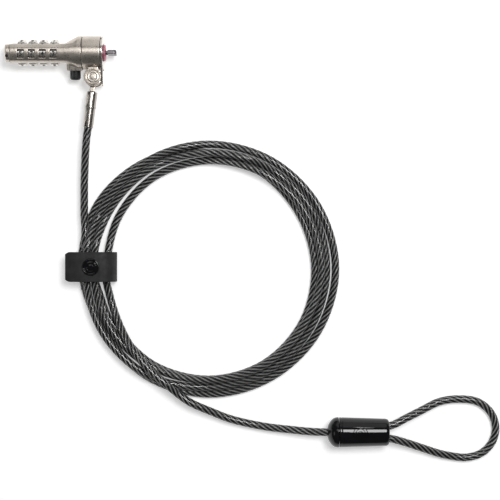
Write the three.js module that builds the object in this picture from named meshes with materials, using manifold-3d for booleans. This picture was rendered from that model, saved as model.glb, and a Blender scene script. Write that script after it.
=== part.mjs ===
// Laptop cable lock: a four-wheel combination head with a push button and a T-bar nose,
// a swivelling cable collar, and a jacketed steel rope that is coiled, tied and ends in
// a sleeved loop. Millimetres, +Z up. The lock lies on the table with its axis along X.
import * as THREE from 'three';
import { mergeVertices } from 'three/addons/utils/BufferGeometryUtils.js';
import Module from 'manifold-3d';

const wasm = await Module();
wasm.setup();

// ---- lock head, measured along its axis from the outer face of the end cap ----
const LOCK_LENGTH = 60.3;
const CAP_END = 3.15;
const BODY_START = 3.35;
const FIRST_DIAL = 9.35;
const DIAL_PITCH = 5.87;
const DIAL_COUNT = 4;
const DIAL_WIDTH = 4.0;
const NECK_START = 32.2;
const NECK_FULL = 39.6;
const FLAT_END = 40.5;
const NECK_END = 42.0;
const COLLAR_START = 42.25;
const COLLAR_END = 52.1;
const PLATE_START = 52.25;
const PLATE_END = 53.35;
const WASHER_START = 53.6;
const WASHER_END = 54.5;
const TBAR_HEAD_START = 55.7;
// ---- lock head, across its axis ----
const FACE_FLAT = 7.65;       // axis to the window face
const FACE_HALF = 3.55;       // half the width of the window face
const SIDE_FLAT = 5.1;        // axis to the side face the wheels stand out of
const SIDE_HALF = 5.55;
const DIAL_R = 7.05;
const DIAL_BORE_R = 3.9;
const HUB_R = 3.75;
const HUB_LENGTH = 4.3;
const SPINDLE_R = 1.6;
const COLLAR_R = 9.05;
const JOURNAL_R = 5.8;
const WASHER_R = 4.4;
const TBAR_SHAFT_R = 1.4;
const TBAR_THICK = 2.4;
const TBAR_WIDTH = 5.9;
const RUN = 0.2;              // running clearance
// ---- push button ----
const BUTTON_AT = 37.7;
const BUTTON_R = 3.0;
const BUTTON_TOP = 14.6;
const BOSS_TOP = 9.3;
const BUTTON_TRAVEL = 2.0;
// ---- cable joint on the collar ----
const RIVET_AT = 48.05;
const RIVET_DROP = 13.35;
const LUG_R = 5.1;
const RIVET_HEAD_R = 4.0;
const EAR_OUT = 4.3;
const EAR_IN = 2.15;
const EYE_R = 4.1;
const FERRULE_START = 7.85;
const FERRULE_END = 27.5;
const FERRULE_R = 2.6;
const CABLE_TILT = -6.7;      // degrees the cable hangs off square to the lock
// ---- cable, coil, tie, sleeve and loop ----
const CABLE_R = 2.2;
const COIL_X = 80.3;
const COIL_Y = -101.4;
const COIL_IN = 55.0;
const COIL_OUT = 70.5;
const COIL_HIGH = 8.8;
const STRAP_Y = -100.2;
const STRAP_WIDE = 16.2;
const STRAP_THICK = 1.2;
const SNAP_X = 16.7;
const SLEEVE_X = 144.9;
const SLEEVE_JOINT = 151.0;
const SLEEVE_END = 178.2;
const SLEEVE_Y = -190.1;
const SLEEVE_R = 8.26;
const SLEEVE_TAIL_R = 7.35;
const LEG_APART = 6.8;
// ---- how the lock lies: collar on the table, window face rolled a little forward ----
const ROLL = THREE.MathUtils.degToRad(11);
const AXIS_Z = COLLAR_R;
const TILT = THREE.MathUtils.degToRad(CABLE_TILT);
const FOOT = RIVET_DROP + FERRULE_END * Math.cos(TILT) + FERRULE_R * Math.sin(Math.abs(TILT));
const AXIS_Y = (FOOT - COLLAR_R) / 2;
const RIVET_X = RIVET_AT - LOCK_LENGTH / 2;
const RIVET_Y = AXIS_Y - RIVET_DROP;

const X = new THREE.Vector3(1, 0, 0);
const Y = new THREE.Vector3(0, 1, 0);
const Z = new THREE.Vector3(0, 0, 1);
const group = new THREE.Group();

// ---- shared shaping steps ----
function volumeOf(position, index) {
  let sum = 0;
  const p = [new THREE.Vector3(), new THREE.Vector3(), new THREE.Vector3()];
  for (let i = 0; i < index.length; i += 3) {
    for (let k = 0; k < 3; k += 1) p[k].fromBufferAttribute(position, index[i + k]);
    sum += p[0].dot(p[1].cross(p[2]));
  }
  return sum / 6;
}

// a closed geometry as a manifold solid, facing outwards
function solid(geometry) {
  const raw = geometry.clone();
  raw.deleteAttribute('normal');
  raw.deleteAttribute('uv');
  const welded = mergeVertices(raw, 1e-5);
  const source = Array.from(welded.index.array);
  let index = [];
  for (let i = 0; i < source.length; i += 3) {
    const [a, b, c] = source.slice(i, i + 3);
    if (a !== b && b !== c && a !== c) index.push(a, b, c);
  }
  const position = welded.getAttribute('position');
  if (volumeOf(position, index) < 0) index = index.reverse();
  return new wasm.Manifold(new wasm.Mesh({
    numProp: 3,
    vertProperties: new Float32Array(position.array),
    triVerts: new Uint32Array(index),
  }));
}

function add(name, body, material) {
  const out = body.getMesh();
  const geometry = new THREE.BufferGeometry();
  geometry.setAttribute('position', new THREE.BufferAttribute(new Float32Array(out.vertProperties), 3));
  geometry.setIndex(new THREE.BufferAttribute(new Uint32Array(out.triVerts), 1));
  geometry.computeVertexNormals();
  const mesh = new THREE.Mesh(geometry, material);
  mesh.name = name;
  group.add(mesh);
}

// outline in the plane across the lock axis, pulled out along X from a to b
function alongX(shape, a, b, curveSegments = 12) {
  const g = new THREE.ExtrudeGeometry(shape, { depth: b - a, bevelEnabled: false, curveSegments });
  g.applyMatrix4(new THREE.Matrix4().makeBasis(Y, Z, X));
  return solid(g.translate(a, 0, 0));
}

// profile of [along X, radius] pairs, turned about the X axis
function turnedX(profile, segments = 32) {
  const points = profile.map(([x, r]) => new THREE.Vector2(r, x));
  return solid(new THREE.LatheGeometry(points, segments).rotateZ(-Math.PI / 2));
}

// profile of [height, radius] pairs, turned about the Z axis
function turnedZ(profile, segments = 28) {
  const points = profile.map(([z, r]) => new THREE.Vector2(r, z));
  return solid(new THREE.LatheGeometry(points, segments).rotateX(Math.PI / 2));
}

function rod(a, b, r, segments = 28) {
  return turnedX([[a, 0], [a, r], [b, r], [b, 0]], segments);
}

function pipe(a, b, inner, outer, segments = 32) {
  return turnedX([[a, inner], [a, outer], [b, outer], [b, inner], [a, inner]], segments);
}

// rod along Y from a to b, in the plane z = 0 at the given x
function rodY(x, a, b, r, segments = 24) {
  return solid(new THREE.CylinderGeometry(r, r, Math.abs(b - a), segments).translate(x, (a + b) / 2, 0));
}

function block(x0, x1, y0, y1, z0, z1) {
  const g = new THREE.BoxGeometry(x1 - x0, y1 - y0, z1 - z0);
  return solid(g.translate((x0 + x1) / 2, (y0 + y1) / 2, (z0 + z1) / 2));
}

function outline(points) {
  return new THREE.Shape(points.map(([a, b]) => new THREE.Vector2(a, b)));
}

function eightSided(side, sideHalf, face, faceHalf) {
  return outline([
    [side, -sideHalf], [side, sideHalf], [faceHalf, face], [-faceHalf, face],
    [-side, sideHalf], [-side, -sideHalf], [-faceHalf, -face], [faceHalf, -face],
  ]);
}

// tube of round section along hand-placed points
function tubeAlong(points, steps, r = CABLE_R) {
  const curve = new THREE.CatmullRomCurve3(points.map((p) => new THREE.Vector3(...p)), false, 'centripetal');
  const section = new THREE.Shape();
  section.absarc(0, 0, r, 0, Math.PI * 2);
  return solid(new THREE.ExtrudeGeometry(section, {
    steps, extrudePath: curve, bevelEnabled: false, curveSegments: 5,
  }));
}

// wire wound about the X axis
function springX(a, b, r, wire, turns) {
  class Winding extends THREE.Curve {
    getPoint(t, target = new THREE.Vector3()) {
      const turn = t * turns * Math.PI * 2;
      return target.set(a + (b - a) * t, r * Math.cos(turn), r * Math.sin(turn));
    }
  }
  const section = new THREE.Shape();
  section.absarc(0, 0, wire, 0, Math.PI * 2);
  return solid(new THREE.ExtrudeGeometry(section, {
    steps: Math.round(turns * 12), extrudePath: new Winding(), bevelEnabled: false, curveSegments: 3,
  }));
}

// the lock body turns in the collar; both lie on the same axis
const asCollar = (body) => body.translate([-LOCK_LENGTH / 2, AXIS_Y, AXIS_Z]);
const asLock = (body) => asCollar(body.rotate([THREE.MathUtils.radToDeg(ROLL), 0, 0]));
// the cable joint swings about the rivet
const asJoint = (body) => body.rotate([0, 0, CABLE_TILT]).translate([RIVET_X, RIVET_Y, AXIS_Z]);

const nickel = () => new THREE.MeshStandardMaterial({ color: 0xb0a598, roughness: 0.34, metalness: 0.95 });
const steel = () => new THREE.MeshStandardMaterial({ color: 0x8c8a88, roughness: 0.4, metalness: 0.95 });
const darkSteel = () => new THREE.MeshStandardMaterial({ color: 0x4a4648, roughness: 0.4, metalness: 0.9 });
const brass = () => new THREE.MeshStandardMaterial({ color: 0xa98d52, roughness: 0.4, metalness: 0.9 });
const plastic = () => new THREE.MeshStandardMaterial({ color: 0x141517, roughness: 0.3, metalness: 0 });
const rubber = () => new THREE.MeshStandardMaterial({ color: 0x2a2a2c, roughness: 0.7, metalness: 0 });
const cable = () => new THREE.MeshStandardMaterial({ color: 0x55585a, roughness: 0.3, metalness: 0.3 });

// ---- lock body ----
function lockHousing() {
  const barrel = alongX(eightSided(SIDE_FLAT, SIDE_HALF, FACE_FLAT, FACE_HALF), BODY_START, NECK_FULL);
  const cone = turnedX([
    [NECK_START, 0], [NECK_START, SIDE_FLAT], [NECK_FULL, COLLAR_R], [NECK_END, COLLAR_R], [NECK_END, 0],
  ], 40);
  const flatZone = block(NECK_START - 1, FLAT_END, -COLLAR_R, COLLAR_R, -FACE_FLAT, FACE_FLAT);
  const roundZone = block(FLAT_END, NECK_END, -COLLAR_R, COLLAR_R, -COLLAR_R, COLLAR_R);
  const boss = block(33.3, NECK_END, -BOSS_TOP, 0, -4.4, 4.4);
  let body = barrel.add(cone.intersect(flatZone.add(roundZone))).add(boss);
  body = body.subtract(rod(BODY_START - 1, 33.6, DIAL_BORE_R));
  body = body.subtract(rod(33, NECK_END + 1, 2.75)).subtract(rod(40.8, NECK_END + 1, 4.1));
  for (let i = 0; i < DIAL_COUNT; i += 1) {
    const at = FIRST_DIAL + i * DIAL_PITCH;
    body = body.subtract(rod(at - DIAL_WIDTH / 2 - RUN, at + DIAL_WIDTH / 2 + RUN, DIAL_R + 0.15, 40));
    body = body.subtract(block(at - 1.9, at + 1.9, -2.4, 2.4, 5, FACE_FLAT + 1));
  }
  body = body.subtract(rodY(BUTTON_AT, -BOSS_TOP - 1, -5.4, BUTTON_R + 0.15));
  return body.subtract(rodY(BUTTON_AT, -6, 0, 1.35));
}

function endCap() {
  const edge = 1.2;
  const g = new THREE.ExtrudeGeometry(eightSided(4.75 - edge, 4.9 - edge * 0.5, 7.2 - edge, 3.2 - edge * 0.5), {
    depth: CAP_END, bevelEnabled: true, bevelSize: edge, bevelThickness: edge, bevelSegments: 3,
  });
  g.applyMatrix4(new THREE.Matrix4().makeBasis(Y, Z, X)).translate(edge, 0, 0);
  const head = solid(g).intersect(block(-1, CAP_END, -10, 10, -10, 10));
  return head.add(rod(CAP_END - 1, 4.6, DIAL_BORE_R - 0.15)).subtract(codeWell());
}

const CODE_AT = [1.85, -1.1];
function codeWell() {
  return solid(new THREE.CylinderGeometry(0.85, 0.85, 6, 20).rotateX(Math.PI / 2)
    .translate(CODE_AT[0], CODE_AT[1], 6));
}

function codeScrew() {
  const shank = solid(new THREE.CylinderGeometry(0.7, 0.7, 3.3, 20).rotateX(Math.PI / 2)
    .translate(CODE_AT[0], CODE_AT[1], 4.85));
  return shank.subtract(block(CODE_AT[0] - 2, CODE_AT[0] + 2, CODE_AT[1] - 0.15, CODE_AT[1] + 0.15, 6.1, 7));
}

function dial(at) {
  const shape = new THREE.Shape();
  const numbers = 10;
  for (let i = 0; i < numbers; i += 1) {
    const start = (i / numbers) * Math.PI * 2;
    for (const [part, r] of [[0, DIAL_R - 0.45], [0.14, DIAL_R], [0.5, DIAL_R], [0.86, DIAL_R]]) {
      const angle = start + (part / numbers) * Math.PI * 2;
      const point = [r * Math.cos(angle), r * Math.sin(angle)];
      if (i === 0 && part === 0) shape.moveTo(...point);
      else shape.lineTo(...point);
    }
  }
  shape.closePath();
  const bore = new THREE.Path();
  bore.absarc(0, 0, DIAL_BORE_R, 0, Math.PI * 2, true);
  shape.holes.push(bore);
  return alongX(shape, at - DIAL_WIDTH / 2, at + DIAL_WIDTH / 2, 14);
}

function hub(at) {
  const ring = pipe(at - HUB_LENGTH / 2, at + HUB_LENGTH / 2, SPINDLE_R + 0.2, HUB_R, 28);
  return ring.subtract(block(at - HUB_LENGTH, at + HUB_LENGTH, -0.6, 0.6, 0, 2.9));
}

function spindle() {
  let body = rod(4.9, 33.2, SPINDLE_R, 24);
  for (let i = 0; i < DIAL_COUNT; i += 1) {
    const at = FIRST_DIAL + (i + 0.5) * DIAL_PITCH;
    body = body.add(block(at - 0.45, at + 0.45, -0.4, 0.4, 0, 2.6));
  }
  return body;
}

function noseCore() {
  return turnedX([
    [41.0, 2.8], [41.0, 3.95], [COLLAR_START, 3.95], [COLLAR_START, JOURNAL_R], [50.4, JOURNAL_R],
    [50.4, 5.2], [51.2, 5.2], [51.2, JOURNAL_R], [52.0, JOURNAL_R], [52.0, 4.5],
    [WASHER_START - 0.1, 4.5], [WASHER_START - 0.1, 1.55], [48.0, 1.55], [48.0, 2.8], [41.0, 2.8],
  ], 28);
}

function retainingRing() {
  const ring = pipe(50.5, 51.1, 5.35, 7.3, 32);
  return ring.subtract(block(50, 52, 4, 9, -1.3, 1.3));
}

function noseWasher() {
  return pipe(WASHER_START, WASHER_END, 1.9, WASHER_R, 32);
}

function tBar() {
  const head = block(TBAR_HEAD_START, LOCK_LENGTH, -TBAR_THICK / 2, TBAR_THICK / 2,
    -TBAR_WIDTH / 2, TBAR_WIDTH / 2);
  const trim = turnedX([
    [TBAR_HEAD_START - 1, 0], [TBAR_HEAD_START - 1, 3.1], [LOCK_LENGTH - 1, 3.1],
    [LOCK_LENGTH + 0.2, 2.2], [LOCK_LENGTH + 0.2, 0],
  ], 40);
  const shaft = rod(36.4, WASHER_END + 0.1, TBAR_SHAFT_R, 24);
  const throat = rod(WASHER_END - 0.4, TBAR_HEAD_START + 0.5, 1.1, 24);
  return head.intersect(trim).add(shaft).add(throat).add(rod(36.2, 40.2, 2.5, 28));
}

function pushButton() {
  const points = [
    [0, 7.6], [BUTTON_R - 0.3, 7.6], [BUTTON_R, 7.9], [BUTTON_R, BUTTON_TOP - 1.2],
    [BUTTON_R - 0.35, BUTTON_TOP - 0.35], [BUTTON_R - 1.2, BUTTON_TOP], [0, BUTTON_TOP],
  ].map(([r, y]) => new THREE.Vector2(r, y));
  const cap = solid(new THREE.LatheGeometry(points, 28).rotateX(Math.PI).translate(BUTTON_AT, 0, 0));
  return cap.subtract(rodY(BUTTON_AT, -9.8, -7, 2.65)).add(rodY(BUTTON_AT, -10, -4.7, 1.15));
}

function buttonSpring() {
  return springX(5.85, 7.35, 2.0, 0.25, 2.5).rotate([0, 0, -90]).translate([BUTTON_AT, 0, 0]);
}

add('lock_housing', asLock(lockHousing()), nickel());
add('end_cap', asLock(endCap()), nickel());
add('code_screw', asLock(codeScrew()), darkSteel());
for (let i = 0; i < DIAL_COUNT; i += 1) {
  const at = FIRST_DIAL + i * DIAL_PITCH;
  add(`dial_${i + 1}`, asLock(dial(at)), nickel());
  add(`hub_${i + 1}`, asLock(hub(at)), brass());
}
add('spindle', asLock(spindle()), steel());
add('spindle_spring', asLock(springX(5.1, 6.8, 2.6, 0.25, 2.5)), steel());
add('nose_core', asLock(noseCore()), steel());
add('retaining_ring', asLock(retainingRing()), darkSteel());
add('nose_washer', asLock(noseWasher()),
  new THREE.MeshStandardMaterial({ color: 0xb85a74, roughness: 0.35, metalness: 0 }));
add('t_bar', asLock(tBar()), darkSteel());
add('push_button', asLock(pushButton()), plastic());
add('button_spring', asLock(buttonSpring()), steel());

// ---- collar that carries the cable joint ----
function collar() {
  const ring = turnedX([
    [COLLAR_START, JOURNAL_R + 0.15], [COLLAR_START, COLLAR_R], [COLLAR_END, COLLAR_R], [COLLAR_END, 7.6],
    [50.1, 7.6], [50.1, JOURNAL_R + 0.15], [COLLAR_START, JOURNAL_R + 0.15],
  ], 40);
  const end = solid(new THREE.CylinderGeometry(LUG_R, LUG_R, EAR_OUT * 2, 32).rotateX(Math.PI / 2)
    .translate(RIVET_AT, -RIVET_DROP, 0));
  const root = block(RIVET_AT - LUG_R, COLLAR_END, -RIVET_DROP, -7.7, -EAR_OUT, EAR_OUT);
  const ears = end.add(root).intersect(block(COLLAR_START, COLLAR_END, -20, 0, -EAR_OUT, EAR_OUT));
  const slot = block(30, 60, -20, -8.9, -EAR_IN, EAR_IN);
  return ring.add(ears).subtract(slot).subtract(rivetHole());
}

function rivetHole() {
  return solid(new THREE.CylinderGeometry(1.65, 1.65, 30, 28).rotateX(Math.PI / 2)
    .translate(RIVET_AT, -RIVET_DROP, 0));
}

// front plate: a disc that runs down over the ears as a fork
function frontPlate() {
  const low = 4.15;
  const steps = 20;
  const points = [];
  for (let i = 0; i <= steps; i += 1) {
    const a = -0.62 + (i / steps) * (Math.PI + 1.24);
    points.push([COLLAR_R * Math.sin(Math.PI / 2 - a), COLLAR_R * Math.cos(Math.PI / 2 - a)]);
  }
  const plateRound = outline(points.map(([w, v]) => [v, w]));
  const disc = alongX(plateRound, PLATE_START, PLATE_END);
  const ear = outline([
    [0, 7.4], [-7, 6.2], [-RIVET_DROP - 1, EAR_OUT], [-RIVET_DROP - low + 1, EAR_OUT - 0.6],
    [-RIVET_DROP - low, EAR_OUT - 1.8], [-RIVET_DROP - low, -EAR_OUT + 1.8],
    [-RIVET_DROP - low + 1, -EAR_OUT + 0.6], [-RIVET_DROP - 1, -EAR_OUT], [-7, -6.2], [0, -7.4],
  ]);
  return disc.add(alongX(ear, PLATE_START, PLATE_END)).add(rod(PLATE_START, PLATE_END, COLLAR_R, 40))
    .subtract(rod(50, 56, 4.7)).subtract(block(50, 56, -25, -8.9, -EAR_IN, EAR_IN));
}

function rivet() {
  const ear = EAR_OUT + 0.1;
  return turnedZ([
    [-ear - 0.9, 0], [-ear - 0.9, 2.6], [-ear - 0.4, 3.3], [-ear, 3.3], [-ear, 1.55],
    [ear, 1.55], [ear, RIVET_HEAD_R], [ear + 0.3, RIVET_HEAD_R - 0.05], [ear + 0.45, RIVET_HEAD_R - 0.6],
    [ear + 0.75, RIVET_HEAD_R - 1.2], [ear + 1.0, RIVET_HEAD_R - 2.6], [ear + 1.05, 0],
  ], 28).translate([RIVET_AT, -RIVET_DROP, 0]);
}

add('collar', asCollar(collar()), nickel());
add('front_plate', asCollar(frontPlate()), nickel());
add('rivet', asCollar(rivet()), nickel());

// ---- cable joint: eye and crimped ferrule ----
function cableEye() {
  const ring = turnedZ([[-2, 1.65], [-2, EYE_R], [2, EYE_R], [2, 1.65], [-2, 1.65]], 28);
  const neck = rodY(0, -3, -FERRULE_START + 0.1, 1.75);
  const shank = rodY(0, -FERRULE_START + 1, -14.5, 1.4);
  return ring.add(neck).add(shank).subtract(turnedZ([[-3, 0], [-3, 1.65], [3, 1.65], [3, 0]]));
}

function ferrule() {
  const mid = 16.2;
  const profile = [
    [0, FERRULE_START + 0.1], [FERRULE_R - 0.3, FERRULE_START + 0.1], [FERRULE_R, FERRULE_START + 0.6],
    [FERRULE_R - 0.05, mid - 0.6], [FERRULE_R + 0.1, mid - 0.2], [FERRULE_R + 0.1, mid + 0.2],
    [FERRULE_R - 0.05, mid + 0.6], [2.4, FERRULE_END - 0.5], [2.2, FERRULE_END], [0, FERRULE_END],
  ].map(([r, y]) => new THREE.Vector2(r, y));
  const tube = solid(new THREE.LatheGeometry(profile, 24).rotateX(Math.PI));
  return tube.subtract(rodY(0, -FERRULE_START + 1, -14.8, 1.55))
    .subtract(block(-1.75, -0.75, -15.6, -9.6, 1.75, 4))
    .subtract(block(-1.75, -0.75, -26.2, -16.8, 1.7, 4));
}

add('cable_eye', asJoint(cableEye()), nickel());
add('ferrule', asJoint(ferrule()), nickel());

// ---- cable: from the ferrule to the coil, the coil, on to the sleeve, and the loop ----
const away = FERRULE_END + 0.3;
const leadPoints = [
  [RIVET_X + away * Math.sin(TILT), RIVET_Y - away * Math.cos(TILT), AXIS_Z],
  [13.8, -31.2, 9.0], [13.2, -39.3, 8.5], [12.55, -52.9, 7.4], [12.4, -64.0, 6.7], [12.4, -73.0, 6.5],
];
const runPoints = [
  [70.9, -174.3, 8.4], [82.5, -179.5, 6.2], [91.7, -183.2, 4.8], [102.7, -186.0, 4.2],
  [113.6, -187.9, 4.4], [124.5, -189.0, 5.4], [134.3, -189.8, 7.0], [SLEEVE_X - 0.3, SLEEVE_Y, SLEEVE_R],
];
const loopPoints = [
  [SLEEVE_END + 0.3, SLEEVE_Y + LEG_APART / 2, 8.2], [188.2, -182.4, 7.0], [197.2, -178.2, 5.0],
  [206.2, -174.1, 3.2], [216.2, -172.7, 2.3], [227.3, -174.1, 2.2], [234.7, -180.1, 2.2],
  [237.4, -188.3, 2.2], [235.4, -196.4, 2.2], [229.5, -202.4, 2.2], [221.2, -204.7, 2.2],
  [213.7, -204.0, 2.3], [206.0, -202.3, 3.2], [196.1, -198.9, 5.0], [187.1, -195.8, 7.0],
  [SLEEVE_END + 0.3, SLEEVE_Y - LEG_APART / 2, 8.2],
];

function coil() {
  const edge = 1.6;
  const ring = turnedZ([
    [0, COIL_IN + edge], [edge, COIL_IN], [COIL_HIGH - edge, COIL_IN], [COIL_HIGH, COIL_IN + edge],
    [COIL_HIGH, COIL_OUT - edge], [COIL_HIGH - edge, COIL_OUT], [edge, COIL_OUT], [0, COIL_OUT - edge],
    [0, COIL_IN + edge],
  ], 60).translate([COIL_X, COIL_Y, 0]);
  const half = STRAP_WIDE / 2 + 0.3;
  return ring.subtract(block(0, 40, STRAP_Y - half, STRAP_Y + half, -1, STRAP_THICK + 0.3));
}

add('cable_lead', tubeAlong(leadPoints, 10), cable());
add('cable_coil', coil(), cable());
add('cable_run', tubeAlong(runPoints, 14), cable());
add('cable_loop', tubeAlong(loopPoints, 30), cable());

// ---- tie: a strap wrapped round the coil and snapped shut on itself ----
function tieStrap() {
  const route = [
    [22.5, 11.5], [16, 11.5], [11, 11.4], [8.9, 10.4], [8.3, 8.2], [8.3, 3.2], [8.9, 1.2], [11, 0.6],
    [18, 0.6], [26, 0.6], [28.4, 1.3], [29.35, 3.2], [29.2, 6.6], [27.6, 10.2], [25, 12.4], [21, 13.0],
    [16, 13.0], [11, 13.0], [7, 12.3], [2.7, 10.9],
  ].map(([x, z]) => new THREE.Vector2(x, z));
  const spots = new THREE.SplineCurve(route).getPoints(44);
  const sides = [[], []];
  spots.forEach((p, i) => {
    const along = spots[Math.min(i + 1, spots.length - 1)].clone().sub(spots[Math.max(i - 1, 0)]).normalize();
    const off = new THREE.Vector2(-along.y, along.x).multiplyScalar(STRAP_THICK / 2);
    sides[0].push(p.clone().add(off));
    sides[1].unshift(p.clone().sub(off));
  });
  const band = new THREE.ExtrudeGeometry(new THREE.Shape(sides[0].concat(sides[1])),
    { depth: STRAP_WIDE, bevelEnabled: false });
  const y0 = STRAP_Y - STRAP_WIDE / 2;
  const y1 = STRAP_Y + STRAP_WIDE / 2;
  band.applyMatrix4(new THREE.Matrix4().makeBasis(X, Z, Y.clone().negate())).translate(0, y1, 0);
  let body = solid(band);
  for (const [y, turn] of [[y0, 1], [y1, -1]]) {
    const corner = outline([[0, y - turn], [4.0, y - turn], [4.0, y], [2.0, y + turn * 3.2], [0, y + turn * 3.2]]);
    const cutter = new THREE.ExtrudeGeometry(corner, { depth: 8, bevelEnabled: false }).translate(0, 0, 8);
    body = body.subtract(solid(cutter));
  }
  return body.subtract(snapBore(1.5, 10.6, 12.3)).subtract(snapBore(2.6, 12.3, 15));
}

function snapBore(r, low, high) {
  return turnedZ([[low, 0], [low, r], [high, r], [high, 0]], 28).translate([SNAP_X, STRAP_Y, 0]);
}

function snapCap() {
  return turnedZ([
    [12.5, 1.5], [12.5, 2.45], [13.7, 2.45], [13.7, 4.7], [14.3, 4.75], [14.9, 4.4], [15.15, 3.6],
    [15.1, 0], [14.0, 0], [14.0, 1.5], [12.5, 1.5],
  ]).translate([SNAP_X, STRAP_Y, 0]);
}

function snapStud() {
  return turnedZ([
    [10.35, 0], [10.35, 3.2], [10.8, 3.2], [10.8, 1.35], [13.8, 1.35], [13.8, 0],
  ], 28).translate([SNAP_X, STRAP_Y, 0]);
}

add('tie_strap', tieStrap(), rubber());
add('snap_cap', snapCap(), plastic());
add('snap_stud', snapStud(), steel());

// ---- sleeve over the crimp that closes the loop ----
const asSleeve = (body) => body.translate([0, SLEEVE_Y, SLEEVE_R]);
const LEG_HOLE_R = CABLE_R + 0.25;

function sleeveBell() {
  return turnedX([
    [SLEEVE_X, LEG_HOLE_R], [SLEEVE_X, 3.2], [SLEEVE_X + 1.0, 4.6], [SLEEVE_X + 2.6, 7.0],
    [SLEEVE_X + 3.8, 7.95], [SLEEVE_X + 5.0, SLEEVE_R], [SLEEVE_JOINT - 0.15, SLEEVE_R],
    [SLEEVE_JOINT - 0.15, LEG_HOLE_R], [SLEEVE_X, LEG_HOLE_R],
  ]);
}

function sleeveCover() {
  const low = SLEEVE_JOINT + 0.15;
  let body = turnedX([
    [low, 6.0], [low, SLEEVE_R - 0.1], [SLEEVE_END - 1.2, SLEEVE_TAIL_R + 0.05],
    [SLEEVE_END - 0.3, SLEEVE_TAIL_R - 0.3], [SLEEVE_END, SLEEVE_TAIL_R - 1.1], [SLEEVE_END, 0],
    [175.2, 0], [175.2, 6.0], [low, 6.0],
  ]);
  for (const side of [-1, 1]) {
    body = body.subtract(rod(170, 180, LEG_HOLE_R, 24).translate([0, side * LEG_APART / 2, 0]));
  }
  return body;
}

function loopCrimp() {
  const ends = [-1, 1].map((side) => rod(154, 174, 2.45, 24).translate([0, side * 2.5, 0]));
  const holes = [-1, 1].map((side) => rod(150, 176, 1.9, 20).translate([0, side * 2.5, 0]));
  return ends[0].add(ends[1]).add(block(154, 174, -2.5, 2.5, -2.45, 2.45))
    .subtract(holes[0]).subtract(holes[1]);
}

add('sleeve_bell', asSleeve(sleeveBell()), plastic());
add('sleeve_cover', asSleeve(sleeveCover()), plastic());
add('loop_crimp', asSleeve(loopCrimp()),
  new THREE.MeshStandardMaterial({ color: 0xb8babc, roughness: 0.45, metalness: 0.9 }));

export default group;
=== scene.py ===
import math

import bmesh
import bpy
import numpy as np
from mathutils import Matrix, Vector


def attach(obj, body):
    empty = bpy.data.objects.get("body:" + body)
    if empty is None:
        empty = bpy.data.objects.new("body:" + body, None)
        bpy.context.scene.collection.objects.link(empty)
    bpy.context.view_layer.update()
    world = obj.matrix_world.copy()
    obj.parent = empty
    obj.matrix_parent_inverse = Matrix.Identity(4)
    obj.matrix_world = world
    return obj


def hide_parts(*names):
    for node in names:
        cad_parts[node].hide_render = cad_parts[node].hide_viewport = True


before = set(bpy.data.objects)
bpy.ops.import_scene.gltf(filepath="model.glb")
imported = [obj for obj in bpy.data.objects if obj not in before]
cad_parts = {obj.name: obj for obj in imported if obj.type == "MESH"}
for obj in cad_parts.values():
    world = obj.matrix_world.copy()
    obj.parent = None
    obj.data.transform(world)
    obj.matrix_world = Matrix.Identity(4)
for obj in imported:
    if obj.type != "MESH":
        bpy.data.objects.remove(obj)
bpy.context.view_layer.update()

# ---------------------------------------------------------------- table, camera and light
# The lock lies on a plain white table and is seen from straight above. A soft box high on the
# right gives the bright lines on the cable and the sleeve, and three weaker panels fill the metal.
camera = bpy.data.objects.new("camera", bpy.data.cameras.new("camera"))
camera.data.sensor_width = 36
camera.data.lens = 94.25
camera.data.clip_start = 0.01
camera.location = (0.1027, -0.0910, 0.720)
bpy.context.scene.collection.objects.link(camera)
bpy.context.scene.camera = camera
bpy.context.scene.view_settings.view_transform = "Standard"

white_table = bpy.data.materials.new("white_table")
white_table.use_nodes = True
table_paint = white_table.node_tree.nodes["Principled BSDF"].inputs
table_paint["Base Color"].default_value = (0.86, 0.86, 0.86, 1)
table_paint["Roughness"].default_value = 0.75
table_paint["Emission Color"].default_value = (1, 1, 1, 1)
table_paint["Emission Strength"].default_value = 0.43
TABLE_REACH = 3
table_mesh = bpy.data.meshes.new("table")
table_mesh.from_pydata(
    [(x * TABLE_REACH, y * TABLE_REACH, 0) for x, y in ((-1, -1), (1, -1), (1, 1), (-1, 1))],
    [], [(0, 1, 2, 3)],
)
table_mesh.materials.append(white_table)
table = bpy.data.objects.new("table", table_mesh)
table.location.z = -0.0001
bpy.context.scene.collection.objects.link(table)


def lamp(name, place, towards, width, watts):
    """A round area light, aimed at a point."""
    light = bpy.data.lights.new(name, "AREA")
    light.shape = "DISK"
    light.size = width
    light.energy = watts
    obj = bpy.data.objects.new(name, light)
    obj.location = place
    obj.rotation_euler = (Vector(towards) - Vector(place)).to_track_quat("-Z", "Y").to_euler()
    bpy.context.scene.collection.objects.link(obj)


lamp("soft_box", (0.34, 0.14, 0.95), (0.1, -0.09, 0), 0.38, 6.2)
lamp("left_box", (-0.16, 0.24, 0.95), (0.1, -0.09, 0), 0.36, 0.6)
lamp("top_panel", (0.1, 1.1, 0.55), (0.1, -0.05, 0), 1.2, 2.6)
lamp("low_panel", (-0.70, -0.25, 0.55), (0.1, -0.09, 0), 0.4, 0.5)

studio = bpy.data.worlds.new("studio")
studio.use_nodes = True
studio.node_tree.nodes["Background"].inputs["Color"].default_value = (1, 1, 1, 1)
studio.node_tree.nodes["Background"].inputs["Strength"].default_value = 0.10
bpy.context.scene.world = studio

# ---------------------------------------------------------------- cable
# One length of security cable: a rope of six steel strands, laid to the right, in a smoke-clear
# jacket 4.4 mm thick. It runs from the ferrule into four turns of a coil, lies over itself
# where the turns cross, and leaves for the sleeve, where a loop is folded back and crimped.
CABLE = 4.4
COIL_CENTRE = np.array([80.3, -101.4])
SLEEVE_Y = -190.1
SLEEVE_Z = 8.26
LEG_APART = 6.8
STRANDS = 6
LAY = 24.0
TIE_Y = -100.2

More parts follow.
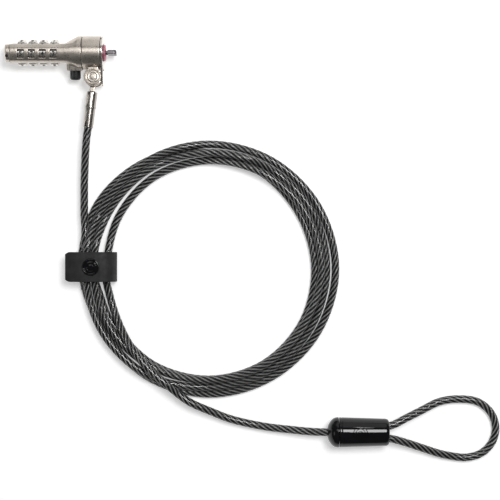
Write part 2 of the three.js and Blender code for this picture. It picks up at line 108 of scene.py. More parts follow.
lead_points = [
    (14.90, -22.90, 9.05), (14.69, -24.71, 9.05), (13.8, -31.2, 9.0), (13.2, -39.3, 8.5),
    (12.55, -52.9, 7.4), (12.4, -64.0, 6.7), (12.4, -73.0, 6.6),
]
# How far out the cable lies from the coil's centre: one row to a turn, starting at the tie, with a
# value every 30 degrees
turn_rows = [
    (64.5, 61.1, 60.8, 60.5, 60.0, 59.0, 58.0, 58.0, 60.0, 63.6, 68.3, 70.7),
    (69.7, 67.0, 68.0, 68.5, 68.4, 68.8, 69.3, 68.8, 68.5, 68.3, 67.7, 66.9),
    (67.0, 67.4, 66.8, 64.6, 64.4, 64.3, 64.4, 64.6, 64.0, 63.4, 63.4, 62.8),
    (62.6, 62.9, 61.6, 60.4, 60.2, 59.9, 61.6, 61.0, 60.0, 59.4, 58.8, 57.3),
]
leaving_radii = [(1620, 56.4), (1635, 56.4), (1650, 57.4), (1665, 59.7), (1680, 63.6)]
run_points = [
    (57.6, -164.1, 0), (64.4, -169.9, 8.0), (70.9, -174.3, 8.4), (82.5, -179.5, 6.2), (91.7, -183.2, 4.8),
    (102.7, -186.0, 4.2), (113.6, -187.9, 4.4), (124.5, -189.0, 5.4), (134.3, -189.8, 7.0),
    (144.6, SLEEVE_Y, SLEEVE_Z), (152.0, SLEEVE_Y + 0.4, SLEEVE_Z), (164.0, SLEEVE_Y + 2.8, SLEEVE_Z),
]
loop_points = [
    (178.5, SLEEVE_Y + LEG_APART / 2, 8.2), (188.2, -182.4, 7.0), (197.2, -178.2, 5.0),
    (206.2, -174.1, 3.2), (216.2, -172.7, 2.3), (227.3, -174.1, 2.2), (234.7, -180.1, 2.2),
    (237.4, -188.3, 2.2), (235.4, -196.4, 2.2), (229.5, -202.4, 2.2), (221.2, -204.7, 2.2),
    (213.7, -204.0, 2.3), (206.0, -202.3, 3.2), (196.1, -198.9, 5.0), (187.1, -195.8, 7.0),
    (178.5, SLEEVE_Y - LEG_APART / 2, 8.2), (166.0, SLEEVE_Y - 2.6, SLEEVE_Z),
    (157.0, SLEEVE_Y - 2.5, SLEEVE_Z),
]


def coil_route():
    """(x, y, least height, angle turned so far) of the whole cable, in order."""
    on_coil = [(162.0, 70.9), (171.0, 68.2)]
    for turn, row in enumerate(turn_rows):
        on_coil += [(180 + 360 * turn + 30 * k, radius) for k, radius in enumerate(row)]
    on_coil.insert(3, (191.0, 61.9))
    on_coil += leaving_radii
    route = [(x, y, z, 100.0) for x, y, z in lead_points]
    for degrees, radius in on_coil:
        turn = math.radians(degrees)
        x, y = COIL_CENTRE + radius * np.array([math.cos(turn), math.sin(turn)])
        route.append((x, y, 0.0, degrees))
    route += [(x, y, z, 1700.0) for x, y, z in run_points]
    route += [(x, y, z, 1800.0) for x, y, z in loop_points]
    return np.array(route)


def smooth_line(points, step):
    """A smooth line through points, cut at even steps. Columns after x and y go along."""
    knots = np.concatenate([[0], np.cumsum(np.linalg.norm(np.diff(points[:, :2], axis=0), axis=1) ** 0.5)])
    fine = []
    for i in range(len(points) - 1):
        a, b = max(i - 1, 0), min(i + 2, len(points) - 1)
        gap = knots[i + 1] - knots[i]
        before = (points[i + 1] - points[a]) / (knots[i + 1] - knots[a]) * gap
        after = (points[b] - points[i]) / (knots[b] - knots[i]) * gap
        for t in np.linspace(0, 1, 24, endpoint=False):
            fine.append(
                (2 * t**3 - 3 * t**2 + 1) * points[i] + (t**3 - 2 * t**2 + t) * before
                + (3 * t**2 - 2 * t**3) * points[i + 1] + (t**3 - t**2) * after
            )
    return even_steps(np.array(fine + [points[-1]]), step)


def even_steps(line, step):
    """The same line with its points at even steps of its length."""
    along = np.concatenate([[0], np.cumsum(np.linalg.norm(np.diff(line[:, :3], axis=0), axis=1))])
    count = int(round(along[-1] / step)) + 1
    marks = np.linspace(0, along[-1], count)
    return np.stack([np.interp(marks, along, line[:, k]) for k in range(line.shape[1])], axis=1)


def lying_order(turn_angle):
    """Which stretch lies over which: a higher number lies over a lower one."""
    if turn_angle < 190:
        return 1.5
    if turn_angle < 540:
        return 1.0
    if turn_angle < 900:
        return 2.0
    if 1132 < turn_angle < 1200:
        return 4.5
    if turn_angle < 1260:
        return 3.0
    if turn_angle < 1620:
        return 4.0
    return 5.0


def laid_down(route):
    """Lets the cable down until each stretch lies on the table, on the tie or on another."""
    xy = route[:, :2]
    order = np.array([lying_order(t) for t in route[:, 3]])
    gap = np.linalg.norm(xy[:, None] - xy[None, :], axis=2)
    place = np.arange(len(route))
    touching = (gap < CABLE) & (np.abs(place[:, None] - place[None, :]) > 8)
    turned_by = route[:, 3]
    swapping = (turned_by > 1118) & (turned_by < 1148) | (turned_by > 1478) & (turned_by < 1508)
    over = touching & (order[:, None] > order[None, :])
    over &= ~(swapping[:, None] & swapping[None, :])
    lift = np.sqrt(np.maximum(CABLE**2 - gap**2, 0))
    in_tie = (np.abs(xy[:, 1] - TIE_Y) < 8.5) & (xy[:, 0] < 40)
    floor = np.maximum(route[:, 2], CABLE / 2 + 1.5 * in_tie)
    height = floor.copy()
    for _ in range(120):
        held = np.where(over, height[None, :] + lift, 0).max(axis=1)
        height = np.maximum(floor, held)
        for _ in range(6):
            softened = height.copy()
            softened[1:-1] = (height[:-2] + 2 * height[1:-1] + height[2:]) / 4
            height = np.maximum(softened, np.maximum(floor, held) - 0.25)
    for _ in range(10):
        height[1:-1] = (height[:-2] + 2 * height[1:-1] + height[2:]) / 4
    return np.column_stack([xy, np.maximum(height, CABLE / 2)])


cable_line = even_steps(laid_down(smooth_line(coil_route(), 2.0)), 1.5)


def along_line(line):
    """Two directions across the line at each of its points, and the distance along it."""
    ahead = np.gradient(line, axis=0)
    ahead /= np.linalg.norm(ahead, axis=1)[:, None]
    side = np.cross((0, 0, 1), ahead)
    side /= np.linalg.norm(side, axis=1)[:, None]
    rise = np.cross(ahead, side)
    along = np.concatenate([[0], np.cumsum(np.linalg.norm(np.diff(line, axis=0), axis=1))])
    return side, rise, along


def wound_tube(name, line, radii, lay):
    """A closed tube along a line in millimetres. Radii goes round the section, and the section
    turns once to the right in every lay of length. Its UV map runs round and along."""
    side, rise, along = along_line(line)
    rings, points = len(line), len(radii)
    turn = np.arange(points) / points * 2 * math.pi + along[:, None] / lay * 2 * math.pi
    skin = (
        line[:, None]
        + (radii * np.cos(turn))[..., None] * side[:, None]
        + (radii * np.sin(turn))[..., None] * rise[:, None]
    )
    corners = (skin.reshape(-1, 3) / 1000).tolist()
    faces, uvs = [], []
    for i in range(rings - 1):
        for k in range(points):
            n = (k + 1) % points
            near, far = i * points, (i + 1) * points
            faces.append((near + k, near + n, far + n, far + k))
            left, right = k / points, (k + 1) / points
            low, high = along[i] / 10, along[i + 1] / 10
            uvs += [(left, low), (right, low), (right, high), (left, high)]
    for first, step in ((0, -1), ((rings - 1) * points, 1)):
        faces.append([first + k for k in range(points)][::step])
        uvs += [(0, 0)] * points
    mesh = bpy.data.meshes.new(name)
    mesh.from_pydata(corners, [], faces)
    mesh.uv_layers.new(name="UVMap").data.foreach_set("uv", np.array(uvs, float).ravel())
    mesh.polygons.foreach_set("use_smooth", [True] * (len(faces) - 2) + [False] * 2)
    obj = bpy.data.objects.new(name, mesh)
    bpy.context.scene.collection.objects.link(obj)
    return obj


def new_finish(name, **values):
    """A material with its Principled shader's own sockets set. Returns the material, its nodes,
    its links and the shader."""
    material = bpy.data.materials.new(name)
    material.use_nodes = True
    nodes = material.node_tree.nodes
    shader = nodes["Principled BSDF"]
    for socket, value in values.items():
        shader.inputs[socket.replace("_", " ")].default_value = value
    return material, nodes, material.node_tree.links, shader


def noise(nodes, links, scale, detail=3.0):
    place = nodes.new("ShaderNodeTexCoord")
    texture = nodes.new("ShaderNodeTexNoise")
    texture.inputs["Scale"].default_value = scale
    texture.inputs["Detail"].default_value = detail
    links.new(place.outputs["Object"], texture.inputs["Vector"])
    return texture.outputs["Fac"]


def spread(nodes, links, source, low, high, source_low=0.3, source_high=0.7):
    """The source's range stretched to run from low to high, each a number or a colour."""
    if isinstance(low, (int, float)):
        step = nodes.new("ShaderNodeMapRange")
        step.inputs["From Min"].default_value = source_low
        step.inputs["From Max"].default_value = source_high
        step.inputs["To Min"].default_value = low
        step.inputs["To Max"].default_value = high
        links.new(source, step.inputs["Value"])
        return step.outputs["Result"]
    ramp = nodes.new("ShaderNodeValToRGB")
    ramp.color_ramp.elements[0].position = source_low
    ramp.color_ramp.elements[1].position = source_high
    ramp.color_ramp.elements[0].color = (*low, 1)
    ramp.color_ramp.elements[1].color = (*high, 1)
    links.new(source, ramp.inputs["Fac"])
    return ramp.outputs["Color"]


def relief(nodes, links, shader, height, depth, strength=1.0):
    """Bumps of a depth in metres from a height from 0 to 1."""
    bump = nodes.new("ShaderNodeBump")
    bump.inputs["Strength"].default_value = strength
    bump.inputs["Distance"].default_value = depth
    links.new(height, bump.inputs["Height"])
    links.new(bump.outputs["Normal"], shader.inputs["Normal"])


def multiplied(nodes, links, first, second):
    mix = nodes.new("ShaderNodeMix")
    mix.data_type = "RGBA"
    mix.blend_type = "MULTIPLY"
    mix.inputs["Factor"].default_value = 1.0
    links.new(first, mix.inputs["A"])
    links.new(second, mix.inputs["B"])
    return mix.outputs["Result"]


def steel_strands():
    """Bright drawn steel wire: fine lines along each strand, and painted shade that darkens the valleys
    where the strands meet.
    """
    material, nodes, links, shader = new_finish("steel_strands", Metallic=0.5, Roughness=0.28)
    uv = nodes.new("ShaderNodeUVMap")
    uv.uv_map = "UVMap"
    split = nodes.new("ShaderNodeSeparateXYZ")
    links.new(uv.outputs["UV"], split.inputs["Vector"])
    across = nodes.new("ShaderNodeMath")
    across.operation = "MULTIPLY"
    across.inputs[1].default_value = STRANDS
    links.new(split.outputs["X"], across.inputs[0])
    strand = nodes.new("ShaderNodeMath")
    strand.operation = "PINGPONG"
    strand.inputs[1].default_value = 0.5
    links.new(across.outputs["Value"], strand.inputs[0])
    mapping = nodes.new("ShaderNodeMapping")
    mapping.inputs["Scale"].default_value = (42.0, 2.2, 1.0)
    links.new(uv.outputs["UV"], mapping.inputs["Vector"])
    wires = nodes.new("ShaderNodeTexWave")
    wires.inputs["Scale"].default_value = 0.35
    wires.inputs["Distortion"].default_value = 1.2
    links.new(mapping.outputs["Vector"], wires.inputs["Vector"])
    # Painted shade: the colour runs from near black in the valleys between strands to light on their crests.
    painted_strand_shade = spread(
        nodes, links, strand.outputs["Value"], (0.012, 0.013, 0.014), (0.82, 0.82, 0.80), 0.24, 0.46
    )
    lines = spread(nodes, links, wires.outputs["Fac"], (0.55, 0.55, 0.55), (1, 1, 1), 0.1, 0.6)
    links.new(multiplied(nodes, links, painted_strand_shade, lines), shader.inputs["Base Color"])
    relief(nodes, links, shader, wires.outputs["Fac"], 0.00008)
    return material


def clear_jacket():
    """Smoke-clear soft vinyl: a thin dark tint with a wet gloss and small ripples from the strands."""
    material, nodes, links, shader = new_finish(
        "clear_jacket", Base_Color=(0.010, 0.011, 0.012, 1), IOR=1.54, Alpha=0.28,
        Specular_IOR_Level=1.0,
    )
    smears = noise(nodes, links, 260.0, 2.0)
    links.new(spread(nodes, links, smears, 0.12, 0.18), shader.inputs["Roughness"])
    relief(nodes, links, shader, noise(nodes, links, 420.0, 1.0), 0.00004, 0.4)
    return material


JACKET_RIPPLE = 0.01
jacket_radii = np.array([
    CABLE / 2 - JACKET_RIPPLE - JACKET_RIPPLE * math.cos(STRANDS * 2 * math.pi * k / 24)
    for k in range(24)
])
cable_jacket = wound_tube("cable_jacket", cable_line, jacket_radii, LAY)
cable_jacket.data.materials.append(clear_jacket())
STRAND = 0.71
VALLEY = 1.82
rope_radii = []
for k in range(36):
    off = math.radians((k % 6 - 3) * 10)
    half_chord = math.sqrt(max(1 - (2 * math.sin(off)) ** 2, 0))
    rope_radii.append(max(2 * STRAND * math.cos(off) + STRAND * half_chord, VALLEY))
steel_rope = wound_tube("steel_rope", cable_line[:-1], np.array(rope_radii), LAY)
steel_rope.data.materials.append(steel_strands())
for piece in (cable_jacket, steel_rope):
    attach(piece, "cable_end")
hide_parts("cable_lead", "cable_coil", "cable_run", "cable_loop")


# ---------------------------------------------------------------- ferrule and eye
# A steel sleeve, folded round the end of the cable and crimped, holds the shank of a cast eye.
# The eye swings on the rivet between the collar's two ears. Both are plated with satin nickel.
CAP_TO_MIDDLE = 30.15
AXIS_Y = 15.958
AXIS_Z = 9.05
RIVET_AT = 48.05
RIVET_DROP = 13.35
ROLL = math.radians(11)
MILLIMETRES = Matrix.Scale(0.001, 4)
on_collar = MILLIMETRES @ Matrix.Translation((-CAP_TO_MIDDLE, AXIS_Y, AXIS_Z))
on_lock = on_collar @ Matrix.Rotation(ROLL, 4, "X")
on_cable = (
    MILLIMETRES @ Matrix.Translation((RIVET_AT - CAP_TO_MIDDLE, AXIS_Y - RIVET_DROP, AXIS_Z))
    @ Matrix.Rotation(math.radians(-6.7), 4, "Z")
)


def mesh_piece(name, corners, faces):
    """A new piece in the scene, its corners in millimetres."""
    mesh = bpy.data.meshes.new(name)
    mesh.from_pydata([tuple(c) for c in corners], [], faces)
    mesh.validate()
    obj = bpy.data.objects.new(name, mesh)
    bpy.context.scene.collection.objects.link(obj)
    return obj


def eased(corners, closed=False):
    """An outline with its corners rounded: each corner is (x, y) or (x, y, radius)."""
    points = []
    count = len(corners)
    for i, corner in enumerate(corners):
        here = np.array(corner[:2], float)
        radius = corner[2] if len(corner) > 2 else 0
        if not radius or (not closed and i in (0, count - 1)):
            points.append(tuple(here))
            continue
        back = np.array(corners[i - 1][:2], float) - here
        ahead = np.array(corners[(i + 1) % count][:2], float) - here
        reach = min(radius, 0.49 * np.linalg.norm(back), 0.49 * np.linalg.norm(ahead))
        start = here + back / np.linalg.norm(back) * reach
        end = here + ahead / np.linalg.norm(ahead) * reach
        for t in (0, 0.25, 0.5, 0.75, 1):
            points.append(tuple((1 - t) ** 2 * start + 2 * t * (1 - t) * here + t * t * end))
    return points


def turned(name, profile, axis="X", segments=72):
    """A piece turned about an axis: profile is (along, radius), and may start and end on the axis
    or go round a bore and close on itself."""
    closed = profile[0][1] > 0 and profile[-1][1] > 0
    rings, corners, faces = [], [], []
    for along, radius in profile:
        if radius < 1e-6:
            rings.append([len(corners)] * segments)
            corners.append((along, 0, 0))
            continue
        rings.append([len(corners) + k for k in range(segments)])
        for k in range(segments):
            turn = 2 * math.pi * k / segments
            corners.append((along, radius * math.cos(turn), radius * math.sin(turn)))
    pairs = list(zip(rings, rings[1:])) + ([(rings[-1], rings[0])] if closed else [])
    for low, high in pairs:
        for k in range(segments):
            n = (k + 1) % segments
            face = list(dict.fromkeys([low[k], low[n], high[n], high[k]]))
            if len(face) > 2:
                faces.append(face)
    if axis == "Y":
        corners = [(z, -x, y) for x, y, z in corners]
    if axis == "Z":
        corners = [(y, z, x) for x, y, z in corners]
    obj = mesh_piece(name, corners, faces)
    outward(obj)
    return obj


def outward(obj):
    """Welds doubled corners and turns every face to look out of the solid."""
    bm = bmesh.new()
    bm.from_mesh(obj.data)
    bmesh.ops.remove_doubles(bm, verts=bm.verts, dist=1e-6)
    bmesh.ops.recalc_face_normals(bm, faces=bm.faces)
    bm.to_mesh(obj.data)
    bm.free()


def prism(name, outline, low, high, axis="X"):
    """An outline pulled straight along an axis: it is (y, z) for X, (x, z) for Y, (x, y) for Z."""
    count = len(outline)
    corners = [(a, b, low) for a, b in outline] + [(a, b, high) for a, b in outline]
    faces = [list(range(count))[::-1], list(range(count, 2 * count))]
    faces += [[k, (k + 1) % count, (k + 1) % count + count, k + count] for k in range(count)]
    if axis == "X":
        corners = [(c, a, b) for a, b, c in corners]
    if axis == "Y":
        corners = [(a, c, b) for a, b, c in corners]
    obj = mesh_piece(name, corners, faces)
    outward(obj)
    return obj


def brick(x0, x1, y0, y1, z0, z1, ease=0.0):
    """A block to join on or cut away, its upright edges rounded."""
    outline = eased([(x0, y0, ease), (x1, y0, ease), (x1, y1, ease), (x0, y1, ease)], closed=True)
    return prism("brick", outline, z0, z1, "Z")


def drilled(radius, low, high, axis, segments, at=(0, 0, 0)):
    """A round pin or hole, from low to high along an axis that passes through a point."""
    pin = turned("hole", [(low, 0), (low, radius), (high, radius), (high, 0)], axis, segments)
    return moved(pin, *at)


def moved(obj, x, y, z):
    obj.data.transform(Matrix.Translation((x, y, z)))
    return obj


def joined(obj, tools, how):
    """Adds, cuts away or keeps the overlap with each of the other solids, which are used up."""
    for tool in tools:
        change = obj.modifiers.new("join", "BOOLEAN")
        change.operation = how
        change.solver = "MANIFOLD"
        change.object = tool
        settle(obj)
        bpy.data.objects.remove(tool)
    return obj


def settle(obj):
    """Makes the modifiers' result the piece's own mesh."""
    bpy.context.view_layer.update()
    done = bpy.data.meshes.new_from_object(obj.evaluated_get(bpy.context.evaluated_depsgraph_get()))
    obj.modifiers.clear()
    obj.data = done
    return obj


def cast(obj, grain=0.2, rounds=4, keep=0.45):
    """Softens every edge as casting and tumbling do. The grain is the size of the smallest detail."""
    remesh = obj.modifiers.new("grain", "REMESH")
    remesh.mode = "VOXEL"
    remesh.voxel_size = grain
    remesh.use_smooth_shade = True
    soften = obj.modifiers.new("soften", "SMOOTH")
    soften.factor = 0.5
    soften.iterations = rounds
    thin = obj.modifiers.new("thin", "DECIMATE")
    thin.ratio = keep
    return settle(obj)


def crisp(obj, degrees=32):
    """Smooth shading that breaks at sharp edges."""
    obj.data.polygons.foreach_set("use_smooth", [True] * len(obj.data.polygons))
    obj.data.set_sharp_from_angle(angle=math.radians(degrees))
    return obj


def fitted(obj, where, body, slot, finish, *stands_for):
    """Puts a finished piece where it belongs, hangs it on the body it rides on and hides the CAD parts that
    it stands for.
    """
    obj.data.transform(where)
    if where.determinant() < 0:
        obj.data.flip_normals()
    obj.data.materials.clear()
    obj.data.materials.append(finish)
    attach(obj, body)
    if stands_for:
        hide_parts(*stands_for)
    return obj


def refinish(node, finish):
    """Gives a CAD solid that shows as it is the finish of its metal."""
    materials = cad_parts[node].data.materials
    materials.clear()
    materials.append(finish)


def satin_nickel(name, base=(0.60, 0.545, 0.485), shine=(0.24, 0.40), pebble=0.00006):
    """Nickel plate over cast zinc: warm and satin, slightly pebbled, with a tone that varies at random
    from dull to bright, and painted shade that darkens its corners and recesses."""
    material, nodes, links, shader = new_finish(name, Metallic=1.0)
    fine = noise(nodes, links, 1500.0, 4.0)
    broad = noise(nodes, links, 160.0, 3.0)
    dull, bright = tuple(0.86 * c for c in base), tuple(min(1.12 * c, 1) for c in base)
    tone = spread(nodes, links, broad, dull, bright)
    # Painted shade: ambient occlusion darkens the base colour in corners, creases and recesses.
    corner = nodes.new("ShaderNodeAmbientOcclusion")
    corner.samples = 6
    corner.inputs["Distance"].default_value = 0.0012
    painted_corner_shade = spread(nodes, links, corner.outputs["AO"], (0.16, 0.14, 0.13), (1, 1, 1), 0.25, 0.85)
    links.new(multiplied(nodes, links, tone, painted_corner_shade), shader.inputs["Base Color"])
    links.new(spread(nodes, links, fine, shine[0], shine[1]), shader.inputs["Roughness"])
    relief(nodes, links, shader, fine, pebble, 0.6)
    return material


nickel = satin_nickel("satin_nickel")

eye_ring = turned("cable_eye_casting", eased([
    (-2, 1.65), (-2, 4.1, 0.4), (2, 4.1, 0.4), (2, 1.65)]), "Z")
neck_outline = eased(
    [(-1.35, -1.6, 0.4), (1.35, -1.6, 0.4), (1.35, 1.6, 0.4), (-1.35, 1.6, 0.4)], closed=True)
neck = prism("neck", neck_outline, -7.75, -2.6, "Y")
shank = drilled(1.4, 6.5, 14.3, "Y", 32)
RIVET_HOLE = 1.65
joined(eye_ring, [neck, shank], "UNION")
joined(eye_ring, [drilled(RIVET_HOLE, -3, 3, "Z", 48)], "DIFFERENCE")
cast(eye_ring, 0.14, 3)
fitted(eye_ring, on_cable, "cable_end", "satin_nickel", nickel, "cable_eye")

crimp = turned("crimped_ferrule", eased([
    (7.95, 1.55), (7.95, 2.95, 0.3), (15.4, 2.9, 0.2), (15.8, 3.1, 0.2), (16.6, 3.1, 0.2), (17.0, 2.85, 0.2),
    (27.3, 2.75, 0.15), (27.5, 2.4), (24.0, 2.22), (24.0, 1.55), (8.2, 1.55)]), "Y", 96)
for low, high in ((-15.0, -9.2), (-26.8, -17.4)):
    fold = brick(-1.9, -1.0, low, high, 1.5, 4, 0.35)
    seam = brick(0.75, 1.05, low, high, 2.0, 4, 0.1)
    joined(crimp, [fold, seam], "DIFFERENCE")
crisp(crimp, 28)
crimped_nickel = satin_nickel("crimped_nickel", (0.46, 0.43, 0.395), (0.18, 0.30), 0.00002)
fitted(crimp, on_cable, "cable_end", "satin_nickel", crimped_nickel, "ferrule")

# ---------------------------------------------------------------- collar, front plate and rivet
# The collar is a cast ring that turns on the head's nose. Two ears stand out of its side and take
# the rivet, and a stamped plate with polished edges covers its front and the ends of the ears.
COLLAR_R = 9.05
BACK, FRONT = 42.25, 52.1
EAR_OUT = 4.3
EAR_GAP = 2.15
GAP_TOP = -8.9
rivet_centre = (RIVET_AT, -RIVET_DROP, 0)
ring = turned("collar_casting", eased([
    (BACK, 5.95), (BACK, COLLAR_R, 0.3), (FRONT, COLLAR_R, 0.2), (FRONT, 7.6), (50.1, 7.6),
    (50.1, 5.95)]), "X", 96)
lug = drilled(5.1, -EAR_OUT, EAR_OUT, "Z", 64, rivet_centre)
root = brick(RIVET_AT - 2.7, RIVET_AT + 2.7, -RIVET_DROP, -7.7, -EAR_OUT, EAR_OUT)
joined(lug, [brick(BACK, FRONT, -20, 0, -5, 5)], "INTERSECT")
joined(ring, [lug, root], "UNION")
through = drilled(RIVET_HOLE, -9, 9, "Z", 48, rivet_centre)
joined(ring, [brick(30, 60, -20, GAP_TOP, -EAR_GAP, EAR_GAP), through], "DIFFERENCE")
cast(ring, 0.19, 4)
fitted(ring, on_collar, "swivel_collar", "satin_nickel", nickel, "collar")

PLATE_END = -17.5
PLATE_HALF = 3.7
REACH_ROUND = 2.51
plate_outline = [(PLATE_END, PLATE_HALF, 1.6)]
for k in range(33):
    turn = -REACH_ROUND + 2 * REACH_ROUND * k / 32
    plate_outline.append((COLLAR_R * math.cos(turn), -COLLAR_R * math.sin(turn)))
plate_outline.append((PLATE_END, -PLATE_HALF, 1.6))
plate = prism("front_plate_stamping", eased(plate_outline, closed=True), 52.25, 53.35, "X")
stakes = [
    drilled(0.75, 51, 52.85, "X", 24, (0, y, z))
    for y, z in ((7.0, 5.75), (-8.4, 3.9), (-12.4, 3.75), (-16.2, 3.7))
]
plate_bore = drilled(4.7, 50, 56, "X", 64)
plate_gap = brick(50, 56, -25, GAP_TOP, -EAR_GAP, EAR_GAP)
joined(plate, [plate_bore, plate_gap, *stakes], "DIFFERENCE")
cast(plate, 0.13, 2)
polished_nickel = satin_nickel("polished_nickel", (0.70, 0.66, 0.61), (0.12, 0.24), 0.00002)
fitted(plate, on_collar, "swivel_collar", "satin_nickel", polished_nickel, "front_plate")

rivet = turned("ringed_rivet", eased([
    (-5.3, 0), (-5.3, 2.6, 0.4), (-4.45, 3.3, 0.2), (-4.38, 1.55), (4.4, 1.55), (4.4, 4.35),
    (4.8, 4.35, 0.2), (5.05, 4.1, 0.15), (5.05, 3.75, 0.1), (4.82, 3.5, 0.1), (4.8, 3.2, 0.1),
    (4.98, 2.95, 0.1), (5.04, 2.5, 0.15), (4.98, 2.2, 0.1), (4.84, 2.0, 0.1), (4.86, 1.6, 0.1),
    (5.02, 1.35, 0.15), (5.08, 0)]), "Z", 96)
crisp(rivet, 50)
moved(rivet, *rivet_centre)
fitted(rivet, on_collar, "swivel_collar", "satin_nickel", nickel, "rivet")

# ---------------------------------------------------------------- lock housing, end cap and code screw
# One zinc casting makes the barrel with its four windows, the conical shoulder and the boss for
# the button. The pressed-in cap closes the barrel, and a small slotted screw in it sets the code.
CROWN = 8.5


def crowned(half, face, side, side_half, ease):
    """The barrel's outline, (y, z): two crowned faces, two flat sides and the bevels between."""
    arc = [half * (1 - k / 4) for k in range(9)]
    top = [(y, face - y * y / (2 * CROWN), ease if abs(y) == half else 0.8) for y in arc]
    bottom = [(-y, -z, r) for y, z, r in top]
    return eased([(side, -side_half, ease), (side, side_half, ease), *top,
                  (-side, side_half, ease), (-side, -side_half, ease), *bottom], closed=True)


barrel_outline = crowned(3.55, 7.75, 5.1, 5.55, 0.45)
BARREL_START = 3.35
SHOULDER_START = 32.2
SHOULDER_END = 39.6
NOSE_END = 42.0
NOSE_R = 9.05
NOSE_FACE = 7.95


def reach(outline, turn):
    """How far an outline lies from the axis in one direction."""
    ahead = (math.cos(turn), math.sin(turn))
    for (y0, z0), (y1, z1) in zip(outline, outline[1:] + outline[:1]):
        cross = ahead[0] * (z1 - z0) - ahead[1] * (y1 - y0)
        if abs(cross) < 1e-9:
            continue
        far = (y0 * (z1 - z0) - z0 * (y1 - y0)) / cross
        share = (y0 * ahead[1] - z0 * ahead[0]) / cross
        if far > 0 and -1e-9 <= share <= 1 + 1e-9:
            return far
    return 0.0


def barrel_to_nose():
    """The barrel's outline swells sideways through the shoulder into the oval nose."""
    count = 128
    turns = [2 * math.pi * k / count for k in range(count)]
    barrel = [reach(barrel_outline, turn) for turn in turns]
    nose = [1 / math.hypot(math.cos(turn) / NOSE_R, math.sin(turn) / NOSE_FACE) for turn in turns]
    stations = [(BARREL_START, 0.0, 0), (SHOULDER_START - 1.2, 0.0, 0)]
    for k in range(9):
        share = k / 8
        stations.append((SHOULDER_START + share * (SHOULDER_END - SHOULDER_START), share, 0))
    stations += [(SHOULDER_END + 0.8, 1.0, 0), (NOSE_END - 0.2, 1.0, 0), (NOSE_END, 1.0, -0.2)]
    corners, faces = [], []
    for along, share, back in stations:
        for turn, near, far in zip(turns, barrel, nose):
            r = near + (far - near) * share + back
            corners.append((along, r * math.cos(turn), r * math.sin(turn)))
    for row in range(len(stations) - 1):
        low, high = row * count, (row + 1) * count
        for k in range(count):
            n = (k + 1) % count
            faces.append((low + k, low + n, high + n, high + k))
    last = (len(stations) - 1) * count
    faces += [list(range(count))[::-1], list(range(last, last + count))]
    casting = mesh_piece("housing_casting", corners, faces)
    outward(casting)
    return casting


housing = barrel_to_nose()
boss_outline = eased([(33.3, -4.4, 2.2), (41.9, -4.4), (41.9, 4.4), (33.3, 4.4, 2.2)], closed=True)
joined(housing, [prism("boss", boss_outline, -9.3, 0, "Y")], "UNION")
BUTTON_AT = 37.7
hollows = [
    drilled(3.9, 2, 33.6, "X", 64),
    drilled(2.75, 33, 43, "X", 48),
    drilled(4.1, 40.8, 43, "X", 64),
    drilled(3.15, 5.4, 11, "Y", 64, (BUTTON_AT, 0, 0)),
    drilled(1.35, 0, 6, "Y", 32, (BUTTON_AT, 0, 0)),
]
FIRST_WHEEL = 9.35
WHEEL_PITCH = 5.87
WINDOW_X = 1.75
WINDOW_Y = 2.05
corner_signs = ((-1, -1), (1, -1), (1, 1), (-1, 1))
for wheel in range(4):
    at = FIRST_WHEEL + wheel * WHEEL_PITCH
    side_slot = drilled(7.2, at - 2.2, at + 2.2, "X", 80)
    window_outline = eased([(at + sx * WINDOW_X, sy * WINDOW_Y, 0.3) for sx, sy in corner_signs],
                           closed=True)
    window = prism("window", window_outline, 5, 9, "Z")
    mouth = mesh_piece("mouth", [
        (at + sx * (WINDOW_X + 0.12 * grow), sy * (WINDOW_Y + 0.62 * grow), z)
        for z, grow in ((6.95, 0), (7.9, 1)) for sx, sy in corner_signs
    ], [(0, 1, 2, 3), (4, 5, 6, 7), (0, 1, 5, 4), (1, 2, 6, 5), (2, 3, 7, 6), (3, 0, 4, 7)])
    outward(mouth)
    hollows += [side_slot, window, mouth]
joined(housing, hollows, "DIFFERENCE")
cast(housing, 0.19, 3, 0.42)
fitted(housing, on_lock, "lock_body", "satin_nickel", nickel, "lock_housing")

cap = prism("end_cap_casting", crowned(3.2, 7.3, 4.75, 4.9, 0.8), 0.1, 3.15)
skirt = drilled(3.75, 2, 4.6, "X", 64)
dome = turned("dome", eased([
    (0, 0), (0, 3.4), (0.35, 5.4), (1.5, 7.6), (3.3, 9.5), (5, 9.5), (5, 0)]), "X", 96)
SCREW_AT = (1.85, -1.1, 0)
joined(cap, [skirt], "UNION")
joined(cap, [dome], "INTERSECT")
joined(cap, [drilled(0.85, 3.0, 9, "Z", 48, SCREW_AT)], "DIFFERENCE")
cast(cap, 0.15, 4)
fitted(cap, on_lock, "lock_body", "satin_nickel", nickel, "end_cap")

code_screw = turned("code_set_screw", eased([(3.2, 0), (3.2, 0.7), (6.5, 0.7, 0.15), (6.5, 0)]), "Z", 40)
joined(code_screw, [brick(-2, 2, -0.15, 0.15, 6.1, 7)], "DIFFERENCE")
crisp(code_screw)
moved(code_screw, *SCREW_AT)
dark_steel = satin_nickel("dark_steel", (0.27, 0.25, 0.26), (0.22, 0.38), 0.00002)
fitted(code_screw, on_lock, "code_set", "dark_steel", dark_steel, "code_screw")

# ---------------------------------------------------------------- number wheels
# Four turned zinc wheels, each with ten bright faces between finger grooves. Black enamel lines the
# grooves and makes the digits. Each wheel is keyed to a brass hub on the spindle.
WHEEL_WIDTH = 4.0
WHEEL_BORE = 3.9
DIGIT_FOOT = 6.92


def black_enamel():
    material, nodes, links, shader = new_finish("black_enamel", Roughness=0.35)
    tone = spread(
        nodes, links, noise(nodes, links, 900.0), (0.012, 0.011, 0.011), (0.035, 0.032, 0.03))
    links.new(tone, shader.inputs["Base Color"])
    relief(nodes, links, shader, noise(nodes, links, 1800.0), 0.00003, 0.5)
    return material


enamel = black_enamel()
worn_nickel = satin_nickel("worn_nickel", (0.72, 0.69, 0.65), (0.18, 0.34), 0.00003)


